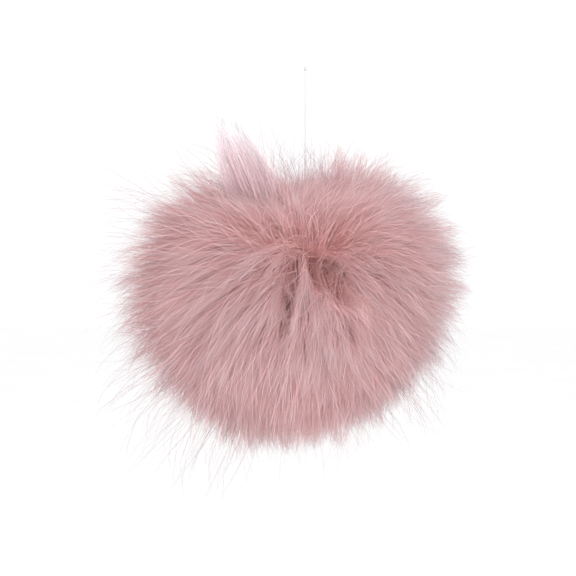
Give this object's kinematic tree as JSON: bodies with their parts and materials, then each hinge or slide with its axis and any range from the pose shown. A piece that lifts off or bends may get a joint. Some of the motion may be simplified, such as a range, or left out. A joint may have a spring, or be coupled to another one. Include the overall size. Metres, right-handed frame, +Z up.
{
  "type": "hanging pompom",
  "caption": "Large fluffy faux fur pompom, a little wider than it is tall, hanging on a fine thread for decoration.",
  "frame": {"origin": "top of the knot at the upper end of the thread, where the pompom is held up", "axes": "+Z up along the taut thread, -Y the front, +X to the right as seen from the front, across the pompom's widest way"},
  "size_m": [0.132, 0.117, 0.1434],
  "materials": {
    "faux_fur": "long soft acrylic pile, dusty pink with paler silvery pink tips",
    "thread": "fine pale nylon thread"
  },
  "bodies": {
    "root": {"fur_ball": "faux_fur", "thread": "thread", "thread_knot": "thread"}
  },
  "joints": []
}
